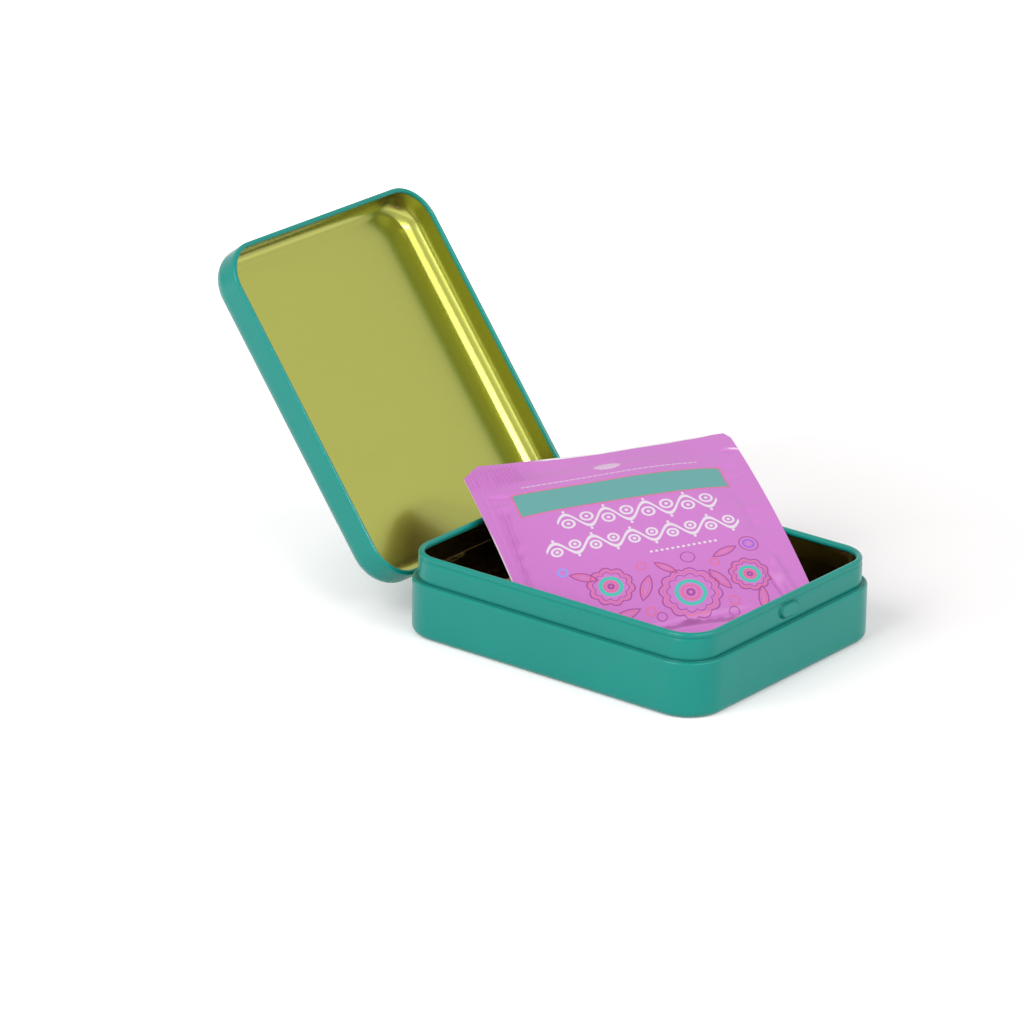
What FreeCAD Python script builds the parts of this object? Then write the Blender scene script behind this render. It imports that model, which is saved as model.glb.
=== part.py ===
import FreeCAD, Part

# A flat pressed tin for tea with a hinged lid that stands open, and one sealed sachet that leans in it.
# Millimetres, +Z up. The origin is the centre of the tin's underside. X runs across the tin and Y along
# it: the hinge is on the +Y end and the snap bump on the -Y end.

import math
import os

from FreeCAD import Vector

# Tin, driving sizes
TIN_WIDTH = 83.3
TIN_LENGTH = 100.0
CORNER_RADIUS = 11.1
SHOULDER_HEIGHT = 15.6
RIM_HEIGHT = 23.2
CLOSED_HEIGHT = 26.1
SHEET = 0.3

# Base
FOOT_RADIUS = 2.0
SHOULDER_RADIUS = 0.6
COLLAR_INSET = 1.55
COLLAR_FOOT_RADIUS = 0.4
RIM_CURL = 1.8
FLOOR_PLATE_INSET = 6.5

# Lid
LID_TOP_RADIUS = 4.8
LID_CURL = 1.4
LID_PLATE_INSET = 8.0
OPEN_ANGLE = 126.5

# Curls: the rolled sheet stops short of the wall that it curls back to
CURL_GAP = 0.12

# Hinge, two rolled knuckles on wire pins
HINGE_BELOW_SHOULDER = 1.48
HINGE_BEHIND_WALL = 0.06
HINGE_SPACING = 42.0
PIN_DIAMETER = 1.2
PIN_CLEARANCE = 0.08
LID_KNUCKLE_LENGTH = 9.0
BASE_KNUCKLE_LENGTH = 3.0
KNUCKLE_GAP = 0.25
SLOT_CLEARANCE = 0.4
STRAP_RISE = 1.1
STRAP_LAP = 1.6

# Snap bump pressed out of the collar
BUMP_LENGTH = 8.0
BUMP_HEIGHT = 3.6
BUMP_STAND = 0.75
BUMP_ROUNDING = 0.6
BUMP_BELOW_RIM = 3.9

# Sachet
SACHET_WIDTH = 76.5
SACHET_HEIGHT = 80.0
SEAL_WIDTH = 6.0
SEAL_THICKNESS = 0.5
SACHET_THICKNESS = 4.0
TOP_LEFT_CUT = 5.0
TOP_RIGHT_CUT = 2.4
SACHET_HEADING = -47.0
SACHET_TILT = 12.6
SACHET_BEND_RADIUS = 235.0
SACHET_WALL_GAP = 0.85
SACHET_FRONT_GAP = 1.82
SACHET_FLOOR_GAP = 0.5
SACHET_RIM_GAP = 0.2

ACROSS = 12
ALONG = 14

KNUCKLE_RADIUS = PIN_DIAMETER / 2 + PIN_CLEARANCE + SHEET
HINGE_Y = TIN_LENGTH / 2 + HINGE_BEHIND_WALL
HINGE_Z = SHOULDER_HEIGHT - HINGE_BELOW_SHOULDER
HINGE_PLACES = {"left": -HINGE_SPACING / 2, "right": HINGE_SPACING / 2}
UP = Vector(0, 0, 1)
X_AXIS = Vector(1, 0, 0)


class Outline:
    """A closed profile of straight runs and arcs in the plane of inset and height."""

    def __init__(self, inset, height):
        self.start = (inset, height)
        self.here = self.start
        self.edges = []

    @staticmethod
    def point(place):
        return Vector(TIN_WIDTH / 2 - place[0], 0, place[1])

    def line(self, inset, height):
        place = (inset, height)
        if math.dist(place, self.here) > 1e-6:
            self.edges.append(Part.LineSegment(self.point(self.here), self.point(place)).toShape())
        self.here = place
        return self

    def arc(self, centre, angle_from, angle_to):
        """Arc about centre; angles in degrees in the inset-height plane, counted from +inset to +height."""
        radius = math.dist(centre, self.here)
        places = []
        for share in (0.0, 0.5, 1.0):
            angle = math.radians(angle_from + (angle_to - angle_from) * share)
            places.append((centre[0] + radius * math.cos(angle), centre[1] + radius * math.sin(angle)))
        self.edges.append(Part.Arc(*[self.point(place) for place in places]).toShape())
        self.here = places[-1]
        return self

    def face(self):
        self.line(*self.start)
        return Part.Face(Part.Wire(self.edges))


def carry_round(face):
    """Carry a profile once round the tin: straight runs along the sides, quarter turns at the corners."""
    half_x = TIN_WIDTH / 2 - CORNER_RADIUS
    half_y = TIN_LENGTH / 2 - CORNER_RADIUS
    side = face.translated(Vector(0, -half_y, 0))
    corner = face.translated(Vector(0, half_y, 0))
    turned = corner.copy()
    turned.rotate(Vector(half_x, half_y, 0), UP, 90)
    pieces = [
        side.extrude(Vector(0, 2 * half_y, 0)),
        corner.revolve(Vector(half_x, half_y, 0), UP, 90),
        turned.extrude(Vector(-2 * half_x, 0, 0)),
        turned.translated(Vector(-2 * half_x, 0, 0)).revolve(Vector(-half_x, half_y, 0), UP, 90),
    ]
    for piece in list(pieces):
        opposite = piece.copy()
        opposite.rotate(Vector(0, 0, 0), UP, 180)
        pieces.append(opposite)
    return pieces[0].fuse(pieces[1:])


def plate(inset, low, high):
    """A flat plate with the tin's outline, drawn in by inset."""
    radius = CORNER_RADIUS - inset
    half_x = TIN_WIDTH / 2 - inset
    half_y = TIN_LENGTH / 2 - inset
    box = Part.makeBox(2 * half_x, 2 * half_y, high - low, Vector(-half_x, -half_y, low))
    upright = [edge for edge in box.Edges if abs(edge.BoundBox.ZLength - (high - low)) < 1e-6]
    return box.makeFillet(radius, upright)


def curl_end(radius):
    """How far past the quarter turn a curl of this outer radius can roll before it meets its own wall."""
    return math.degrees(math.asin((radius - SHEET - CURL_GAP) / radius))


def base_profile():
    """Foot, wall, shoulder, collar and the rim that curls inwards."""
    roll = RIM_CURL / 2
    centre = (COLLAR_INSET + roll, RIM_HEIGHT - roll)
    last = -90 - curl_end(roll)
    collar_in = COLLAR_INSET + SHEET
    outline = Outline(FLOOR_PLATE_INSET, 0)
    outline.line(FOOT_RADIUS, 0)
    outline.arc((FOOT_RADIUS, FOOT_RADIUS), 270, 180)
    outline.line(0, SHOULDER_HEIGHT - SHOULDER_RADIUS)
    outline.arc((SHOULDER_RADIUS, SHOULDER_HEIGHT - SHOULDER_RADIUS), 180, 90)
    outline.line(COLLAR_INSET - COLLAR_FOOT_RADIUS, SHOULDER_HEIGHT)
    outline.arc((COLLAR_INSET - COLLAR_FOOT_RADIUS, SHOULDER_HEIGHT + COLLAR_FOOT_RADIUS), 270, 360)
    outline.line(COLLAR_INSET, centre[1])
    outline.arc(centre, 180, 0)
    outline.arc(centre, 0, last)
    inner = roll - SHEET
    angle = math.radians(last)
    outline.line(centre[0] + inner * math.cos(angle), centre[1] + inner * math.sin(angle))
    outline.arc(centre, last, 0)
    outline.arc(centre, 0, 180)
    low_fillet = COLLAR_FOOT_RADIUS + SHEET
    outline.line(collar_in, SHOULDER_HEIGHT + COLLAR_FOOT_RADIUS)
    outline.arc((collar_in - low_fillet, SHOULDER_HEIGHT + COLLAR_FOOT_RADIUS), 360, 270)
    outline.line(SHOULDER_RADIUS, SHOULDER_HEIGHT - SHEET)
    outline.arc((SHOULDER_RADIUS, SHOULDER_HEIGHT - SHOULDER_RADIUS), 90, 180)
    outline.line(SHEET, FOOT_RADIUS)
    outline.arc((FOOT_RADIUS, FOOT_RADIUS), 180, 270)
    outline.line(FLOOR_PLATE_INSET, SHEET)
    return outline.face()


def lid_profile():
    """Top edge, skirt and the lower edge that curls inwards, as the lid lies shut."""
    roll = LID_CURL / 2
    centre = (roll, SHOULDER_HEIGHT + roll)
    last = 90 + curl_end(roll)
    inner = roll - SHEET
    angle = math.radians(last)
    outline = Outline(LID_PLATE_INSET, CLOSED_HEIGHT)
    outline.line(LID_TOP_RADIUS, CLOSED_HEIGHT)
    outline.arc((LID_TOP_RADIUS, CLOSED_HEIGHT - LID_TOP_RADIUS), 90, 180)
    outline.line(0, centre[1])
    outline.arc(centre, 180, 360)
    outline.arc(centre, 0, last)
    outline.line(centre[0] + inner * math.cos(angle), centre[1] + inner * math.sin(angle))
    outline.arc(centre, last, 0)
    outline.arc(centre, 360, 180)
    outline.line(SHEET, CLOSED_HEIGHT - LID_TOP_RADIUS)
    outline.arc((LID_TOP_RADIUS, CLOSED_HEIGHT - LID_TOP_RADIUS), 180, 90)
    outline.line(LID_PLATE_INSET, CLOSED_HEIGHT - SHEET)
    return outline.face()


def rod(middle_x, length, radius):
    """A round bar on the hinge axis, centred on middle_x."""
    start = Vector(middle_x - length / 2, HINGE_Y, HINGE_Z)
    return Part.makeCylinder(radius, length, start, X_AXIS)


def hinge_slot(middle_x):
    """Opening in the wall and shoulder that a lid knuckle turns in."""
    width = LID_KNUCKLE_LENGTH + 2 * KNUCKLE_GAP
    reach = KNUCKLE_RADIUS + SLOT_CLEARANCE
    low = Vector(middle_x - width / 2, HINGE_Y - KNUCKLE_RADIUS - KNUCKLE_GAP, HINGE_Z - reach)
    return Part.makeBox(width, 3 * KNUCKLE_RADIUS, SHOULDER_HEIGHT + 1 - low.z, low)


def base_knuckles(middle_x):
    """The two short sleeves rolled from the wall that hold the ends of a pin."""
    offset = LID_KNUCKLE_LENGTH / 2 + KNUCKLE_GAP + BASE_KNUCKLE_LENGTH / 2
    return [rod(middle_x + side * offset, BASE_KNUCKLE_LENGTH, KNUCKLE_RADIUS) for side in (-1, 1)]


def pin(middle_x):
    length = LID_KNUCKLE_LENGTH + 2 * (KNUCKLE_GAP + BASE_KNUCKLE_LENGTH)
    return rod(middle_x, length, PIN_DIAMETER / 2)


def lid_knuckle(middle_x):
    """Strap that comes down from the skirt and rolls round the pin, as the lid lies shut."""
    outer = HINGE_Y + KNUCKLE_RADIUS
    inner = outer - SHEET
    wall = TIN_LENGTH / 2
    bend = HINGE_Z + STRAP_RISE
    lap = SHOULDER_HEIGHT + STRAP_LAP
    section = [
        (inner, HINGE_Z),
        (outer, HINGE_Z),
        (outer, bend),
        (wall, lap),
        (wall - SHEET, lap),
        (wall - SHEET, lap - SHEET),
        (inner, bend - SHEET),
    ]
    left = middle_x - LID_KNUCKLE_LENGTH / 2
    corners = [Vector(left, y, z) for y, z in section]
    strap = Part.Face(Part.makePolygon(corners + corners[:1])).extrude(X_AXIS * LID_KNUCKLE_LENGTH)
    return strap.fuse(rod(middle_x, LID_KNUCKLE_LENGTH, KNUCKLE_RADIUS))


def bump(grow, stand):
    """Oblong that stands out of the collar's front by stand; grow widens it all round."""
    half = BUMP_HEIGHT / 2 + grow
    run = BUMP_LENGTH / 2 - BUMP_HEIGHT / 2
    middle = RIM_HEIGHT - BUMP_BELOW_RIM
    front = -(TIN_LENGTH / 2 - COLLAR_INSET)
    back = front + SHEET / 2
    ends = [Vector(run, back, middle), Vector(-run, back, middle)]
    left = Vector(-run - half, back, middle)
    right = Vector(run + half, back, middle)
    top = [end + UP * half for end in ends]
    low = [end - UP * half for end in ends]
    outline = Part.Wire([
        Part.Arc(low[0], right, top[0]).toShape(),
        Part.LineSegment(top[0], top[1]).toShape(),
        Part.Arc(top[1], left, low[1]).toShape(),
        Part.LineSegment(low[1], low[0]).toShape(),
    ])
    depth = stand + SHEET / 2
    solid = Part.Face(outline).extrude(Vector(0, -depth, 0))
    rim = [edge for edge in solid.Edges if edge.BoundBox.YMax < back - depth + 1e-6]
    return solid.makeFillet(BUMP_ROUNDING + grow, rim)


def base_tin():
    shell = carry_round(base_profile()).fuse(plate(FLOOR_PLATE_INSET, 0, SHEET))
    shell = shell.fuse(bump(0, BUMP_STAND))
    hollow = bump(-SHEET, BUMP_STAND - SHEET).translated(Vector(0, SHEET / 2 + 0.05, 0))
    hollow = hollow.fuse(bump(-SHEET, BUMP_STAND - SHEET))
    shell = shell.cut(hollow)
    for middle_x in HINGE_PLACES.values():
        shell = shell.cut(hinge_slot(middle_x)).fuse(base_knuckles(middle_x))
        shell = shell.cut(pin(middle_x))
    return shell.removeSplitter()


def lid_tin():
    shell = carry_round(lid_profile()).fuse(plate(LID_PLATE_INSET, CLOSED_HEIGHT - SHEET, CLOSED_HEIGHT))
    for middle_x in HINGE_PLACES.values():
        shell = shell.fuse(lid_knuckle(middle_x))
        shell = shell.cut(rod(middle_x, LID_KNUCKLE_LENGTH + 1, PIN_DIAMETER / 2 + PIN_CLEARANCE))
    shell = shell.removeSplitter()
    shell.rotate(Vector(0, HINGE_Y, HINGE_Z), X_AXIS, -OPEN_ANGLE)
    return shell


def sachet_middle(lean, across, up):
    """Point and normal of the sachet's middle sheet; the sheet leans back and bends over as it rises."""
    tilt = math.radians(SACHET_TILT)
    side = across * math.cos(tilt) - up * math.sin(tilt)
    rise = up * math.cos(tilt) + across * math.sin(tilt)
    foot_lean = math.radians(lean)
    here_lean = foot_lean + rise / SACHET_BEND_RADIUS
    back = SACHET_BEND_RADIUS * (math.cos(foot_lean) - math.cos(here_lean))
    high = SACHET_BEND_RADIUS * (math.sin(here_lean) - math.sin(foot_lean))
    heading = math.radians(SACHET_HEADING)
    along = Vector(math.cos(heading), math.sin(heading), 0)
    away = Vector(-math.sin(heading), math.cos(heading), 0)
    normal = away * -math.cos(here_lean) + UP * math.sin(here_lean)
    return along * side + away * back + UP * high, normal


def pillow(across, up):
    """Half thickness of the sachet: flat seals round a cushion."""
    body_half = SACHET_WIDTH / 2 - SEAL_WIDTH
    body_rise = SACHET_HEIGHT / 2 - SEAL_WIDTH
    s = min(abs(across) / body_half, 1.0)
    t = min(abs(up - SACHET_HEIGHT / 2) / body_rise, 1.0)
    crown = (1 - s ** 4) * (1 - t ** 4)
    return SEAL_THICKNESS / 2 + crown * (SACHET_THICKNESS - SEAL_THICKNESS) / 2


def sachet_face(lean, side, fineness=1):
    """Rows of points on one face of the sachet, before it is put in its place; side is 1 or -1."""
    rows = []
    for i in range(ALONG * fineness + 1):
        up = i / (ALONG * fineness) * SACHET_HEIGHT
        row = []
        for j in range(ACROSS * fineness + 1):
            across = (j / (ACROSS * fineness) - 0.5) * SACHET_WIDTH
            point, normal = sachet_middle(lean, across, up)
            row.append(point + normal * side * pillow(across, up))
        rows.append(row)
    return rows


def sachet_place(lean):
    """Move that sets the sachet's foot against the left wall, the front rim and the floor."""
    points = [point for side in (1, -1) for row in sachet_face(lean, side) for point in row]
    wall_x = SHEET + SACHET_WALL_GAP - TIN_WIDTH / 2
    wall_y = COLLAR_INSET + RIM_CURL + SACHET_FRONT_GAP - TIN_LENGTH / 2
    floor = SHEET + SACHET_FLOOR_GAP
    low = Vector(min(p.x for p in points), min(p.y for p in points), min(p.z for p in points))
    return Vector(wall_x, wall_y, floor) - low


def rim_clearance(lean):
    """Least gap between the sachet's back and the rolled rims that it crosses."""
    place = sachet_place(lean)
    roll = RIM_CURL / 2
    roll_x = TIN_WIDTH / 2 - COLLAR_INSET - roll
    roll_y = TIN_LENGTH / 2 - COLLAR_INSET - roll
    gaps = []
    for row in sachet_face(lean, -1, 3):
        for point in row:
            here = point + place
            beyond = max(here.x - roll_x, here.y - roll_y)
            above = here.z - RIM_HEIGHT + roll
            if beyond > -2 * roll:
                gaps.append(math.hypot(min(beyond, 0), above) - roll)
    return min(gaps, default=SACHET_RIM_GAP)


def sachet_lean():
    """Lean at the foot with which the sachet's back comes to rest on the rims."""
    upright, flat = 20.0, 80.0
    for _ in range(20):
        middle = (upright + flat) / 2
        if rim_clearance(middle) > SACHET_RIM_GAP:
            upright = middle
        else:
            flat = middle
    return upright


def corner_cut(lean, place, side, size):
    """Prism that takes a top corner off the seals; side is -1 for the left corner and 1 for the right."""
    spots = [(-1.2, 0.2), (0.2, -1.2), (1.2, 1.2)]
    corner = side * SACHET_WIDTH / 2
    normal = sachet_middle(lean, corner, SACHET_HEIGHT)[1]
    corners = []
    for outward, upward in spots:
        point = sachet_middle(lean, corner + side * outward * size, SACHET_HEIGHT + upward * size)[0]
        corners.append(point + place - normal * SACHET_THICKNESS / 2)
    return Part.Face(Part.makePolygon(corners + corners[:1])).extrude(normal * SACHET_THICKNESS)


def sachet():
    """Heat-sealed envelope, leaning corner-wise on the rims."""
    lean = sachet_lean()
    place = sachet_place(lean)
    faces = []
    for side in (1, -1):
        surface = Part.BSplineSurface()
        surface.interpolate([[point + place for point in row] for row in sachet_face(lean, side)])
        faces.append(surface.toShape())
    rims = []
    for edge in faces[0].Edges:
        middle = edge.CenterOfMass
        partner = min(faces[1].Edges, key=lambda other: other.CenterOfMass.distanceToPoint(middle))
        rims.append(Part.makeRuledSurface(edge, partner))
    shell = Part.makeShell(faces + rims)
    shell.sewShape()
    solid = Part.makeSolid(Part.Shell(shell.Faces))
    if solid.Volume < 0:
        solid.reverse()
    for side, size in ((-1, TOP_LEFT_CUT), (1, TOP_RIGHT_CUT)):
        solid = solid.cut(corner_cut(lean, place, side, size))
    return solid


def main():
    os.makedirs("parts", exist_ok=True)
    nodes = {"base_tin": base_tin(), "lid_tin": lid_tin(), "tea_sachet": sachet()}
    for name, middle_x in HINGE_PLACES.items():
        nodes["hinge_pin_" + name] = pin(middle_x)
    for name, shape in nodes.items():
        box = shape.optimalBoundingBox(False, False)
        extent = [round(v, 2) for v in (box.XMin, box.XMax, box.YMin, box.YMax, box.ZMin, box.ZMax)]
        print(name, len(shape.Solids), shape.isValid(), round(shape.Volume, 1), len(shape.Faces), extent)
        shape.Solids[0].exportStep(f"parts/{name}.step")


main()
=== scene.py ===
import math

import bpy
import numpy as np
from mathutils import Matrix, Vector


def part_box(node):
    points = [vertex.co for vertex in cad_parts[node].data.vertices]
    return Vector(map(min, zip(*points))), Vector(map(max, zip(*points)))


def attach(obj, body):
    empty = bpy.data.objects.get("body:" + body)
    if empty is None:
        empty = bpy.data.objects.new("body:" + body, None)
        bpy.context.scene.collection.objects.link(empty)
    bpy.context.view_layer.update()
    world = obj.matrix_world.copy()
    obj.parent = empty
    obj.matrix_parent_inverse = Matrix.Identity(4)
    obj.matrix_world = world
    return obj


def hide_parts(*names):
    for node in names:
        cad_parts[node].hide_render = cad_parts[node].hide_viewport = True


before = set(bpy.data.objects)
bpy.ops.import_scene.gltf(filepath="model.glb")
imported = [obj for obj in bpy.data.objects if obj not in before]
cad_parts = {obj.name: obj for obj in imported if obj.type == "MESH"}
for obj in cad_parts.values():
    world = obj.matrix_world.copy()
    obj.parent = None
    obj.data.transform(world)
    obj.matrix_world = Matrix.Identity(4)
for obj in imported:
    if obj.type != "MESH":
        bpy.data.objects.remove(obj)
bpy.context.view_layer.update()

# Sizes are in millimetres and turns in degrees, until a mesh is made. X runs across the tin, Y along it
# towards the hinge, Z up from its underside.
MM = 0.001

# Outline, levels and sheet of the shut tin.
TIN_WIDTH = 83.3
TIN_LENGTH = 100.0
CORNER_RADIUS = 11.1
SHOULDER_HEIGHT = 15.6
RIM_HEIGHT = 23.2
CLOSED_HEIGHT = 26.1
SHEET = 0.3

# Base, from its foot over the shoulder to the collar, the neck round it and its rolled rim.
FOOT_RADIUS = 2.0
SHOULDER_RADIUS = 0.6
COLLAR_INSET = 1.55
COLLAR_FOOT_RADIUS = 0.4
LEDGE_DIP = 0.35
RIM_CURL = 1.8
NECK_DEPTH = 0.26
NECK_DROP = 1.3
NECK_ANGLE = 225

# Lid, with its rolled edge and how far it stands open.
LID_TOP_RADIUS = 4.8
LID_CURL = 1.4
LID_CROWN = 0.12
OPEN_ANGLE = 126.5
CURL_GAP = 0.12

# Hinge: its axis, the knuckles on it, the slots cut for them and the straps that carry the lid.
HINGE_Y = TIN_LENGTH / 2 + 0.06
HINGE_Z = SHOULDER_HEIGHT - 1.48
HINGE_PLACES = (-21.0, 21.0)
KNUCKLE_RADIUS = 0.98
LID_KNUCKLE_LENGTH = 9.0
BASE_KNUCKLE_LENGTH = 3.0
KNUCKLE_GAP = 0.25
SLOT_HALF = LID_KNUCKLE_LENGTH / 2 + KNUCKLE_GAP
SLOT_REACH = 1.38
STRAP_RISE = 1.1
STRAP_LAP = 1.6
STRAP_END = 0.4
STRAP_SINK = 0.02
LID_KNUCKLE_TURN = 300
BASE_KNUCKLE_TURN = 345
# Height over the pin below which the knuckle's faces towards the base are painted shade.
SHADED_KNUCKLE_RISE = 1.2

# Snap bump on the collar's front, the moat round it and the finer mesh there.
BUMP_LENGTH = 7.2
BUMP_HEIGHT = 3.6
BUMP_STAND = 0.75
BUMP_MIDDLE = RIM_HEIGHT - 3.9
BUMP_SHOULDER = 0.40
BUMP_MOAT = 0.28
MOAT_MIDDLE = 0.35
MOAT_WIDTH = 0.28
BUMP_MESH_HALF = 6.5
BUMP_MESH_STEP = 0.2

# Sachet: its size, how it stands and how its top corners are cut.
SACHET_WIDTH = 76.5
SACHET_HEIGHT = 80.0
SEAL_WIDTH = 6.0
SEAL_THICKNESS = 0.36
CAD_SEAL_THICKNESS = 0.5
SACHET_THICKNESS = 4.0
SACHET_HEADING = -47.0
SACHET_TILT = 12.6
SACHET_BEND_RADIUS = 235.0
SACHET_LEAN = 59.646
TOP_LEFT_CUT = 5.0
TOP_RIGHT_DROP = 2.88
TOP_RIGHT_SLOPE = 2.4

# Printed border of the lid.
BORDER_INSET = 7.4
BORDER_RADIUS = 8.6
BORDER_GOLD_WIDTH = 1.6
BORDER_EDGE_WIDTH = 2.3
BORDER_LINE_OFFSET = -2.9
BORDER_LINE_WIDTH = 0.9


# ---------------------------------------------------------------- shader maths


class Value:
    """A number or vector inside a material's node tree that Python's operators work on."""

    def __init__(self, tree, socket):
        self.tree = tree
        self.socket = socket

    def apply(self, operation, *others):
        inputs = dict(enumerate((self,) + others))
        return add_node(self.tree, "ShaderNodeMath", {"operation": operation}, inputs)

    def __add__(self, other):
        return self.apply("ADD", other)

    def __sub__(self, other):
        return self.apply("SUBTRACT", other)

    def __mul__(self, other):
        return self.apply("MULTIPLY", other)

    def __rsub__(self, other):
        return add_node(self.tree, "ShaderNodeMath", {"operation": "SUBTRACT"}, {0: other, 1: self})

    __radd__ = __add__
    __rmul__ = __mul__

    def abs(self):
        return self.apply("ABSOLUTE")

    def min(self, other):
        return self.apply("MINIMUM", other)

    def max(self, other):
        return self.apply("MAXIMUM", other)

    def sin(self):
        return self.apply("SINE")

    def repeat(self, pitch):
        """Place within cells of this pitch, measured from the middle of each cell."""
        return self.apply("WRAP", pitch, 0.0) - pitch / 2

    def angle(self, other):
        """Angle of the point whose height is this value and whose reach is the other."""
        return self.apply("ARCTAN2", other)

    def ramp(self, low, high):
        """0 at low rising smoothly to 1 at high; low may be the larger."""
        if low > high:
            return 1.0 - self.ramp(high, low)
        settings = {"interpolation_type": "SMOOTHSTEP"}
        inputs = {"Value": self, "From Min": low, "From Max": high}
        return add_node(self.tree, "ShaderNodeMapRange", settings, inputs)


def add_node(tree, kind, settings=None, inputs=None, output=0):
    """Add a node, set its settings first, then fill its sockets; output may be several sockets' names."""
    node = tree.nodes.new(kind)
    for name, setting in (settings or {}).items():
        setattr(node, name, setting)
    for key, given in (inputs or {}).items():
        if isinstance(given, Value):
            tree.links.new(given.socket, node.inputs[key])
        else:
            node.inputs[key].default_value = given
    if isinstance(output, tuple):
        return [Value(tree, node.outputs[name]) for name in output]
    return Value(tree, node.outputs[output]) if node.outputs else None


def length(x, y):
    return (x * x + y * y).apply("SQRT")


def mix_colour(tree, factor, first, second):
    """Blend two colours; factor 0 gives the first."""
    factor_socket, first_socket, second_socket, colour_output = 0, 6, 7, 2
    inputs = {factor_socket: factor, first_socket: first, second_socket: second}
    return add_node(tree, "ShaderNodeMix", {"data_type": "RGBA"}, inputs, colour_output)


def noise(tree, place, scale, detail=3.0, roughness=0.5):
    inputs = {"Vector": place, "Scale": scale, "Detail": detail, "Roughness": roughness}
    return add_node(tree, "ShaderNodeTexNoise", {"noise_dimensions": "3D"}, inputs)


def object_place(tree):
    return add_node(tree, "ShaderNodeTexCoord", output="Object")


def split(tree, place):
    """X, Y and Z of a place."""
    return add_node(tree, "ShaderNodeSeparateXYZ", inputs={"Vector": place}, output=("X", "Y", "Z"))


def sheet_place(tree, width, height):
    """The piece's own flat layout in millimetres, from its UV map, measured from the middle."""
    share_x, share_y, _ = split(tree, add_node(tree, "ShaderNodeTexCoord", output="UV"))
    return (share_x - 0.5) * width, (share_y - 0.5) * height


def ray_kinds(tree, *kinds):
    """1 where the ray is one of these kinds."""
    first, *others = add_node(tree, "ShaderNodeLightPath", output=kinds)
    for other in others:
        first = first.max(other)
    return first


def bump(tree, height, distance, strength=1.0):
    inputs = {"Height": height, "Distance": distance, "Strength": strength}
    return add_node(tree, "ShaderNodeBump", inputs=inputs)


def new_material(name):
    material = bpy.data.materials.new(name)
    material.use_nodes = True
    material.node_tree.nodes.clear()
    return material, material.node_tree


def finish_surface(material, **sockets):
    """Give the material one Principled surface with these socket values; underscores stand for spaces."""
    tree = material.node_tree
    inputs = {name.replace("_", " "): given for name, given in sockets.items()}
    surface = add_node(tree, "ShaderNodeBsdfPrincipled", inputs=inputs)
    add_node(tree, "ShaderNodeOutputMaterial", inputs={"Surface": surface})
    return material


# ---------------------------------------------------------------- materials

TEAL = (0.003, 0.266, 0.222, 1.0)
TEAL_DEEP = (0.002, 0.240, 0.200, 1.0)
# Darker teal for painted shade round the collar's foot and the snap bump.
TEAL_PAINTED_SHADE = (0.001, 0.095, 0.080, 1.0)
GOLD_LINE = (0.56, 0.42, 0.06, 1.0)
DARK_LINE = (0.03, 0.10, 0.10, 1.0)
LACQUER = (0.378, 0.394, 0.068, 1.0)
LACQUER_WARM = (0.362, 0.372, 0.048, 1.0)
# Darker, browner copy of the lid's gold lacquer: painted shade inside the base, on its sleeves and on the
# knuckles' inner faces.
LACQUER_SHADED_INSIDE = (0.290, 0.255, 0.058, 1.0)
LACQUER_SHADED_INSIDE_WARM = (0.235, 0.185, 0.040, 1.0)
ORCHID = (0.545, 0.168, 0.530, 1.0)
ORCHID_PALE = (0.585, 0.196, 0.565, 1.0)
ORCHID_DEEP = (0.480, 0.130, 0.460, 1.0)
PRINT_TEAL = (0.102, 0.338, 0.326, 1.0)
PRINT_TURQUOISE = (0.055, 0.470, 0.385, 1.0)
PRINT_CORAL = (0.700, 0.120, 0.210, 1.0)
PRINT_PLUM = (0.330, 0.050, 0.260, 1.0)
PRINT_VIOLET = (0.330, 0.110, 0.640, 1.0)
PRINT_BLUE = (0.230, 0.300, 0.800, 1.0)
PRINT_WHITE = (0.720, 0.650, 0.730, 1.0)
PAPER_EDGE = (0.820, 0.760, 0.800, 1.0)
WIRE_PALE = (0.62, 0.61, 0.58, 1.0)
WIRE_DARK = (0.42, 0.41, 0.39, 1.0)
FLOOR_PALE = (0.918, 0.888, 0.892, 1.0)
WHITE = (1.0, 1.0, 1.0, 1.0)


def orange_peel(tree, place):
    """Faint unevenness of a roller-coated sheet."""
    return bump(tree, noise(tree, place, scale=900.0, detail=1.0), distance=0.002 * MM, strength=0.25)


def finish_enamel(material, colour, cloud, place):
    """Roller-coated paint over tinplate, a little uneven in gloss."""
    return finish_surface(
        material,
        Base_Color=colour,
        Roughness=cloud * 0.06 + 0.22,
        Normal=orange_peel(material.node_tree, place),
        IOR=1.33,
        Coat_Weight=0.06,
        Coat_Roughness=0.1,
    )


def outline_distance(across, along, inset, radius):
    """Signed distance from a rounded rectangle drawn in from the tin's outline, positive outside it."""
    beyond_x = across.abs() - (TIN_WIDTH / 2 - inset - radius)
    beyond_y = along.abs() - (TIN_LENGTH / 2 - inset - radius)
    corner = length(beyond_x.max(0.0), beyond_y.max(0.0))
    return corner + beyond_x.max(beyond_y).min(0.0) - radius


def painted_shade_mask(across, along, height):
    """1 where shade is painted: round the collar's foot and, less, round the snap bump."""
    from_collar = outline_distance(across, along, COLLAR_INSET, CORNER_RADIUS - COLLAR_INSET)
    near_foot = height.ramp(SHOULDER_HEIGHT + 0.9, SHOULDER_HEIGHT + 0.2)
    round_foot = from_collar.ramp(1.0, 0.2) * near_foot
    beyond = (across.abs() - (BUMP_LENGTH - BUMP_HEIGHT) / 2).max(0.0)
    from_bump = length(beyond, height - BUMP_MIDDLE) - BUMP_HEIGHT / 2
    on_front = along.ramp(-TIN_LENGTH / 4, -TIN_LENGTH / 3)
    round_bump = (from_bump - 0.12).abs().ramp(0.5, 0.1) * on_front
    return round_foot.max(round_bump * 0.8)


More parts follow.
